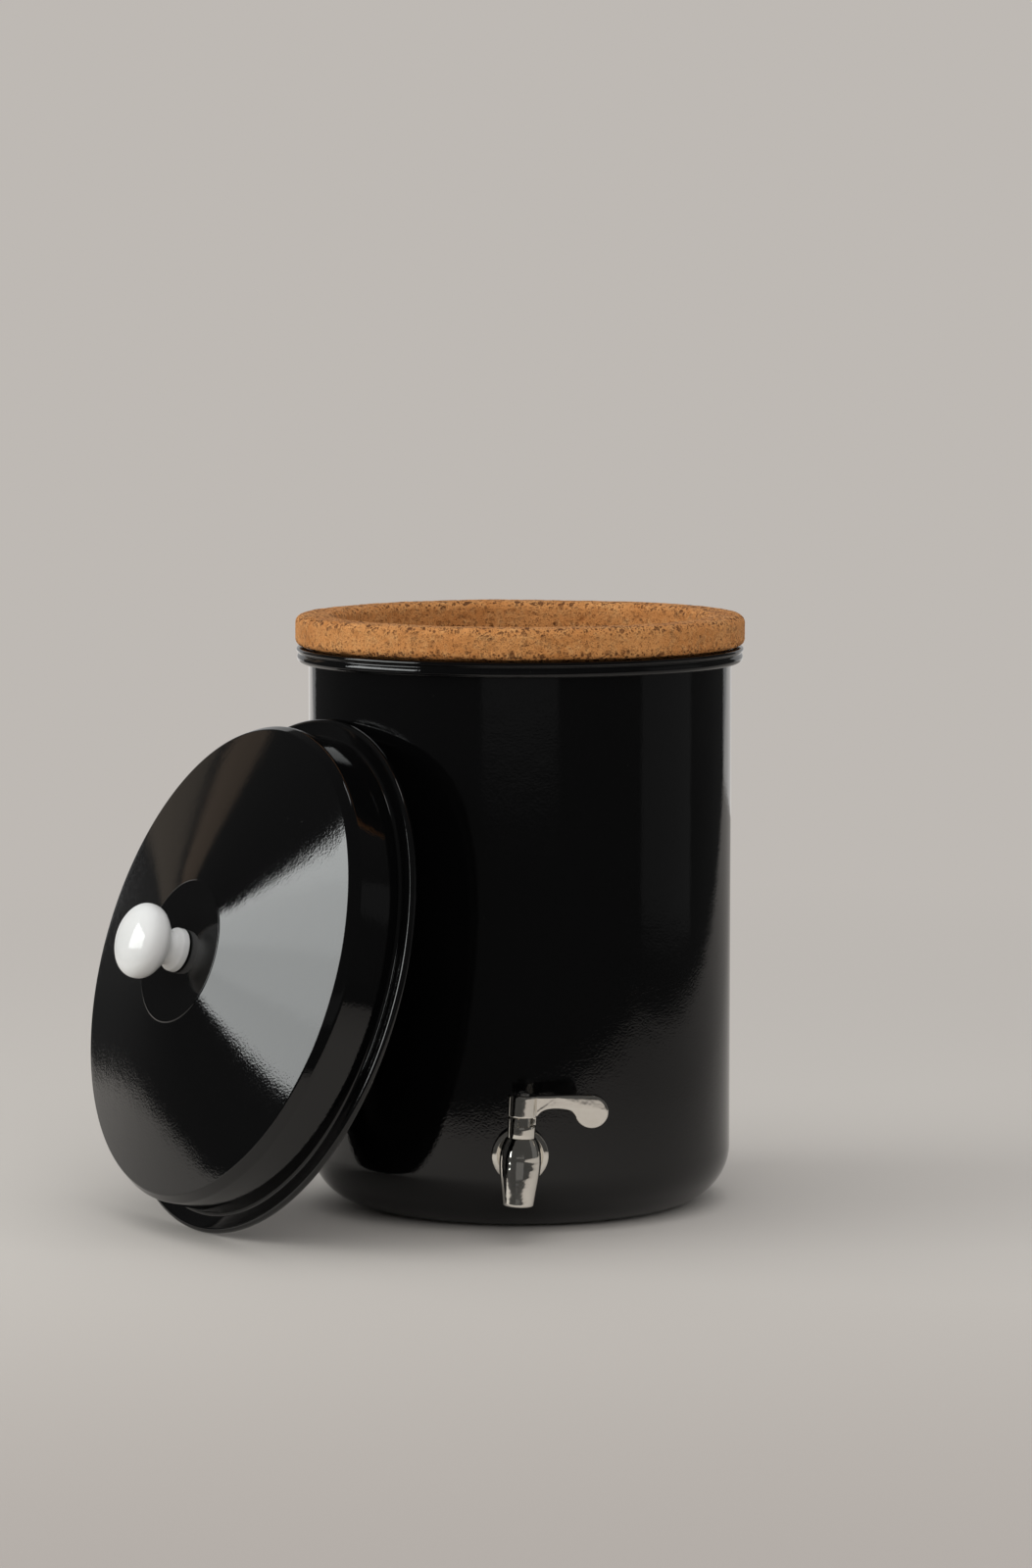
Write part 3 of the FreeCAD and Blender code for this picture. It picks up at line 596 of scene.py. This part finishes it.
def makeLever():
    g = lever
    work = bmesh.new()
    dots = [work.verts.new((x * mm, 0, z * mm)) for x, z in leverOutline()]
    face = work.faces.new(dots)
    made = bmesh.ops.extrude_face_region(work, geom=[face])
    side = [v for v in made["geom"] if isinstance(v, bmesh.types.BMVert)]
    bmesh.ops.translate(work, vec=(0, mm, 0), verts=side)
    rootThick, tipThick = g["thickness"]
    start, over = g["thins"]
    for v in work.verts:
        share = min(1.0, max(0.0, (v.co.x / mm - start) / over))
        half = (rootThick + (tipThick - rootThick) * share) / 2 * mm
        tip = g["faceTip"] * (v.co.z - g["paddle"][1] * mm)
        v.co.y = half if v.co.y > 0.5 * mm else -half - tip
    bmesh.ops.recalc_face_normals(work, faces=work.faces)
    rims = [e for e in work.edges if e.calc_face_angle(0) > math.radians(60)]
    bmesh.ops.bevel(work, geom=rims, offset=g["edge"] * mm, offset_type="OFFSET", segments=3, profile=0.5,
                    affect="EDGES", material=-1)
    hubPath = roundedPath([(0, g["under"], 0), (g["hub"], g["under"], g["hubFoot"]),
                           (g["hub"], g["top"], g["hubEdge"]), (0, g["top"], 0)], 6)
    hubMesh = meshFrom(turned(hubPath, 96, closed=False), "hubPart")
    work.from_mesh(hubMesh)
    bpy.data.meshes.remove(hubMesh)
    block(work, g["lug"], g["lugAt"])
    thing = newObject("tapLever", meshFrom(work, "tapLever"), "lever", ["tap_lever"])
    fused(thing, g)
    for name in ("socket", "screwHole"):
        bore = bmesh.new()
        rod(bore, *g[name], Matrix())
        cutBy(thing, cutter(bore, name))
    thing.data.transform(tapFrame)
    return thing


# lever screw: shaft and domed head as (radius, height, rounding)
leverScrew = {"profile": ((0, 35.6, 0), (2.0, 35.6, 0.3), (2.0, 44.6, 0), (4.3, 44.6, 0.2), (4.25, 45.5, 0.9),
                          (2.6, 46.7, 3.0), (0, 47.0, 0)),
              "slot": (9, 1.1, 1.8), "slotUp": 47.0, "slotTurn": 35}


def makeLeverScrew():
    w = leverScrew
    work = turned(roundedPath(w["profile"], 6), 64, closed=False)
    thing = newObject("leverScrewHead", meshFrom(work, "leverScrewHead"), "lever", ["lever_screw"])
    slot = bmesh.new()
    block(slot, w["slot"], (0, 0, w["slotUp"]))
    place(slot, Matrix.Rotation(math.radians(w["slotTurn"]), 4, "Z"))
    cutBy(thing, cutter(slot, "screwSlot"))
    thing.data.transform(tapFrame)
    return thing


made = {}
for name, maker in (("vessel", makeVessel), ("pot", makePot), ("lid", makeLid), ("knob", makeKnob),
                    ("casting", makeCasting), ("rosette", makeRosette), ("bonnet", makeBonnet),
                    ("lever", makeLever), ("leverScrew", makeLeverScrew)):
    made[name] = maker()
    print("stage:", name, len(made[name].data.polygons), "faces")


# finishes
enamel = {"black": (0.0015, 0.0015, 0.0016, 1), "fleck": (0.04, 0.038, 0.035, 1), "gloss": (0.035, 0.035),
          "swell": 0.7, "ripple": 0.5, "fine": 0.12, "dot": 0.25, "relief": 0.00012}
# clay: pits in the material are (cells to a metre, size, share left out), thickest near the rim's two edges;
# they are bumped in and painted dark as shade in the holes
clay = {"dark": (0.50, 0.205, 0.058, 1), "light": (0.60, 0.275, 0.09, 1), "slip": (0.68, 0.385, 0.155, 1),
        "grit": (0.27, 0.10, 0.03, 1), "inside": (0.27, 0.085, 0.014, 1), "pitShade": (0.10, 0.034, 0.011, 1),
        "pits": ((190, 0.40, 0.64), (380, 0.41, 0.52), (800, 0.42, 0.5)), "rimMiddle": 0.3942,
        "edgeFrom": (0.0045, 0.0095), "edgeTo": (0.0125, 0.016), "mouth": 0.1272, "relief": 0.0011}
porcelain = {"cool": (0.60, 0.60, 0.585, 1), "warm": (0.66, 0.655, 0.64, 1)}
polished = {"dark": (0.80, 0.765, 0.70, 1), "light": (0.90, 0.87, 0.81, 1)}
fixing = {"dark": (0.58, 0.565, 0.54, 1), "light": (0.74, 0.725, 0.70, 1)}
rubber = {"dark": (0.014, 0.014, 0.014, 1), "light": (0.03, 0.029, 0.028, 1)}


def enamelFinish():
    f = Finish("blackEnamel")
    e = enamel
    swell = f.grain(80, 1.5, 0.45)
    ripple = f.grain(620, 1.5, 0.5)
    fine = f.grain(1500, 1.0, 0.5)
    distance, chance = f.cells(420)
    dot = (0.15 - distance).ramp(0, 0.05) * chance.above(0.94)
    height = swell * e["swell"] + ripple * e["ripple"] + fine * e["fine"] + dot * e["dot"]
    least, spread = e["gloss"]
    f.set(Base_Color=f.blend(dot * 0.6, e["black"], e["fleck"]), IOR=1.5,
          Roughness=least + spread * f.grain(60, 3, 0.6), Normal=f.bump(height, e["relief"], 0.6))
    return f.material


# sandy fired clay: patches, grit, a dusting of pale slip, pits of three sizes painted dark as shade, and
# painted shade inside the mouth
def clayFinish():
    f = Finish("firedClay")
    c = clay
    patch = f.grain(24, 4, 0.6)
    mottle = f.grain(160, 5, 0.65)
    sand = f.grain(1100, 4, 0.75)
    warm = f.blend(patch.ramp(0.35, 0.65), c["dark"], c["light"])
    dusty = f.blend(mottle.ramp(0.48, 0.72) * 0.6, warm, c["slip"])
    sandy = f.blend(sand.ramp(0.36, 0.62), f.blend(0.55, dusty, c["grit"]), dusty)
    x, y, up = f.axes()
    away = (up - c["rimMiddle"]).maths("ABSOLUTE")
    edge = 0.3 + 0.7 * away.ramp(*c["edgeFrom"]) * (1 - away.ramp(*c["edgeTo"]))
    mouthShade = (c["mouth"] - (x * x + y * y) ** 0.5).ramp(0, 0.002)
    holes = 0
    for scale, size, share in c["pits"]:
        distance, chance = f.cells(scale)
        ragged = distance - (mottle - 0.5) * 0.5
        holes = (size - ragged).ramp(0, 0.12) * chance.above(share) * edge + holes
    pits = holes.clamp()
    # painted shade: the clay within the mouth is blended towards the darker inside colour
    shaded = f.blend(mouthShade * 0.35, sandy, c["inside"])
    # painted shade: the pits are darkened towards the pit colour as if shaded inside, besides the bump that
    # sinks them
    f.set(Base_Color=f.blend(pits * 0.92, shaded, c["pitShade"]), Roughness=0.93, Specular_IOR_Level=0.2,
          Normal=f.bump(sand * 0.6 + mottle * 0.8 - pits * 1.3, c["relief"], 1.0))
    return f.material


def porcelainFinish():
    f = Finish("whitePorcelain")
    f.set(Base_Color=f.blend(f.grain(60, 2, 0.5), porcelain["cool"], porcelain["warm"]),
          Roughness=0.07 + 0.05 * f.grain(120, 2, 0.5), Normal=f.bump(f.grain(140, 1.5, 0.5), 0.0001, 0.35))
    return f.material


def polishedFinish():
    f = Finish("polishedSteel")
    wave = f.grain(120, 2, 0.5)
    scuff = f.grain(900, 2, 0.6, stretch=(1, 1, 0.15))
    f.set(Base_Color=f.blend(wave, polished["dark"], polished["light"]), Metallic=1.0,
          Roughness=0.05 + 0.06 * f.grain(300, 3, 0.6),
          Normal=f.bump(wave * 0.8 + scuff * 0.04, 0.00025, 0.5))
    return f.material


def fixingFinish():
    f = Finish("turnedSteel")
    f.set(Base_Color=f.blend(f.grain(500, 3, 0.6), fixing["dark"], fixing["light"]), Metallic=1.0,
          Roughness=0.15 + 0.1 * f.grain(700, 3, 0.6), Normal=f.bump(f.grain(1500, 2, 0.5), 0.0001, 0.4))
    return f.material


def rubberFinish():
    f = Finish("blackRubber")
    f.set(Base_Color=f.blend(f.grain(300, 3, 0.6), rubber["dark"], rubber["light"]),
          Roughness=0.6 + 0.2 * f.grain(400, 3, 0.6), Normal=f.bump(f.grain(1800, 2, 0.5), 0.0001, 0.4))
    return f.material


finishes = {"black_enamel": enamelFinish(), "clay": clayFinish(), "porcelain": porcelainFinish(),
            "tap_metal": polishedFinish(), "steel_fixings": fixingFinish(), "rubber": rubberFinish()}
wears = {"vessel": "black_enamel", "lid": "black_enamel", "pot": "clay", "knob": "porcelain",
         "casting": "tap_metal", "rosette": "tap_metal", "bonnet": "tap_metal", "lever": "tap_metal",
         "leverScrew": "steel_fixings"}
for name, finish in wears.items():
    made[name].data.materials.clear()
    made[name].data.materials.append(finishes[finish])
for part in frame["record"]["subparts"]:
    node = frame["nodes"].get(part["node"])
    if node is None:
        continue
    for slot in node.material_slots:
        slot.material = finishes[part["material_slot"]]
print("stage: finishes on")

# camera: focal is the focal length in pixels of a picture that is tall pixels high
view = {"focal": 5367.6, "tall": 1600, "sensor": 36, "at": (-0.00274, -3.6031, 0.6448), "down": 0.099}
camera = bpy.data.objects.new("camera", bpy.data.cameras.new("camera"))
bpy.context.scene.collection.objects.link(camera)
camera.data.sensor_fit = "VERTICAL"
camera.data.sensor_height = view["sensor"]
camera.data.lens = view["focal"] * view["sensor"] / view["tall"]
camera.location = view["at"]
camera.rotation_euler = (math.radians(90) - view["down"], 0, 0)
camera.data.clip_end = 50
bpy.context.scene.camera = camera

# stage, world and lamps; the floor runs into the backdrop's colour between two distances, and its paper is
# painted darker towards the camera as shade
backdrop = {"colour": (0.515, 0.485, 0.455, 1), "floor": (0.52, 0.487, 0.45, 1),
            "near": (0.346, 0.31, 0.283, 1), "reflectedDark": (0.045, 0.045, 0.044, 1), "shadeSpan": (0.2, 1.05),
            "fades": (0.45, 1.9), "half": (3.2, 4.7), "middle": 1.3, "under": 0.0004}
air = {"fill": (0.97, 0.98, 1.0, 1), "fillLevel": 0.62, "mirrored": (1, 0.99, 0.97, 1), "mirroredLevel": 0.05}
# where mirrored rays see the table end: its front edge bows, its sides spread towards the back; beyond it the
# floor is a painted dark reflection, and towards its right the reflection is painted dimmer
table = {"front": -0.70, "bow": 0.16, "middle": 0.33, "half": 0.6, "right": 1.11, "left": 0.84,
         "spread": 0.28, "reflectedDim": (0.1, 0.7, 0.4)}


def makeFloor():
    b = backdrop
    work = bmesh.new()
    bmesh.ops.create_grid(work, x_segments=1, y_segments=1, size=1)
    bmesh.ops.scale(work, vec=(*b["half"], 1), verts=work.verts)
    bmesh.ops.translate(work, vec=(0, b["middle"], -b["under"]), verts=work.verts)
    thing = bpy.data.objects.new("studioFloor", meshFrom(work, "studioFloor", False))
    bpy.context.scene.collection.objects.link(thing)
    f = Finish("floorPaper")
    t = table
    x, y = f.axes()[:2]
    away = (x * x + (y + 0.05) * (y + 0.05)) ** 0.5
    bow = ((x - t["middle"]) / t["half"]) ** 2
    front = (y - t["front"] - bow * t["bow"]).ramp(-0.02, 0.05)
    right = (y * t["spread"] + t["right"] - x).ramp(-0.03, 0.05)
    left = (y * t["spread"] + t["left"] + x).ramp(-0.03, 0.05)
    faintFrom, faintTo, faintShare = t["reflectedDim"]
    reflectedDim = 1 - x.ramp(faintFrom, faintTo) * faintShare
    # painted reflection: to mirrored rays the floor outside the table's outline, and partly on its right,
    # glows dark instead of showing paper
    beyond = f.ray("Is Glossy Ray") * (1 - front * right * left * reflectedDim)
    glow = f.node("ShaderNodeEmission", Color=b["colour"], Strength=1.0)
    dark = f.node("ShaderNodeEmission", Color=b["reflectedDark"], Strength=1.0)
    # painted shade: the floor's colour goes from the paper colour to the darker near colour towards the
    # camera
    f.set(Base_Color=f.blend((0 - y).ramp(*b["shadeSpan"]), b["floor"], b["near"]), Roughness=0.9,
          Specular_IOR_Level=0.1)
    paper = f.mix(away.ramp(*b["fades"]), f.shader.outputs[0], glow.outputs[0])
    f.feed(f.output.inputs["Surface"], f.mix(beyond, paper, dark.outputs[0]))
    thing.data.materials.append(f.material)
    return thing


def makeWorld():
    world = bpy.data.worlds.new("studio")
    bpy.context.scene.world = world
    world.use_nodes = True
    world.node_tree.nodes.clear()
    w = Tree(world.node_tree)
    fill = w.node("ShaderNodeBackground", Color=air["fill"], Strength=air["fillLevel"])
    paper = w.node("ShaderNodeBackground", Color=backdrop["colour"], Strength=1.0)
    dark = w.node("ShaderNodeBackground", Color=air["mirrored"], Strength=air["mirroredLevel"])
    unseen = w.mix(w.ray("Is Glossy Ray"), fill.outputs[0], dark.outputs[0])
    w.node("ShaderNodeOutputWorld", Surface=w.mix(w.ray("Is Camera Ray"), unseen, paper.outputs[0]))


# a lamp that no camera sees; glow is the brightness of its face, size is across and upright
def softbox(name, at, towards, size, glow, tint=(1, 1, 1), mirrored=True):
    data = bpy.data.lights.new(name, "AREA")
    data.shape = "RECTANGLE"
    data.size, data.size_y = size
    data.energy = glow * math.pi * size[0] * size[1]
    data.color = tint
    thing = bpy.data.objects.new(name, data)
    bpy.context.scene.collection.objects.link(thing)
    thing.location = at
    thing.rotation_euler = (Vector(towards) - Vector(at)).to_track_quat("-Z", "Y").to_euler()
    thing.visible_glossy = mirrored
    thing.visible_camera = False
    return thing


# the key is a wide window on the left, brighter towards its top
window = {"away": -3.0, "near": -2.2, "far": 0.44, "sill": 0.38, "slice": 0.4, "slices": 4, "glow": 4.9,
          "rise": 0.5, "tint": (0.97, 1.0, 0.99)}
lamps = {
    "warmLeft": {"at": (-1.62, 1.35, 0.85), "towards": (-0.1, 0.0, 0.2), "size": (0.3, 0.6), "glow": 0.2,
                 "tint": (1, 0.72, 0.5)},
    "warmFar": {"at": (-1.62, 2.1, 0.8), "towards": (-0.1, 0.0, 0.2), "size": (0.5, 0.6), "glow": 0.12,
                "tint": (1, 0.8, 0.6)},
    "cardRight": {"at": (1.62, -0.18, 0.55), "towards": (0, -0.18, 0.55), "size": (1.05, 1.5), "glow": 0.07},
    "farFront": {"at": (0.0, -5.2, -0.2), "towards": (0, 0, -0.2), "size": (3.8, 2.2), "glow": 0.07},
    "backWall": {"at": (0.08, 2.5, 0.79), "towards": (0.08, 0, 0.79), "size": (3.5, 1.58), "glow": 0.4},
    "frontFill": {"at": (0.2, -2.6, 1.5), "towards": (0, 0, 0.1), "size": (2.0, 1.6), "glow": 1.2,
                  "mirrored": False},
    "rightFill": {"at": (1.9, -1.6, 1.2), "towards": (0, 0, 0.2), "size": (1.6, 1.6), "glow": 1.0,
                  "mirrored": False},
    "overhead": {"at": (-0.1, -0.6, 2.6), "towards": (0, -0.1, 0), "size": (2.8, 2.2), "glow": 0.95,
                 "mirrored": False},
    "topStrip": {"at": (0.25, 0.3, 2.4), "towards": (0, 0, 0), "size": (0.5, 0.35), "glow": 2.0}}

makeFloor()
makeWorld()
across = (window["near"] + window["far"]) / 2
for k in range(window["slices"]):
    up = window["sill"] + window["slice"] * (k + 0.5)
    size = (window["far"] - window["near"], window["slice"])
    glow = window["glow"] + window["rise"] * k
    softbox(f"window{k}", (window["away"], across, up), (0, across, up), size, glow, window["tint"])
for name, lamp in lamps.items():
    softbox(name, **lamp)
bpy.context.scene.view_settings.view_transform = "Standard"
print("stage: light and camera set")
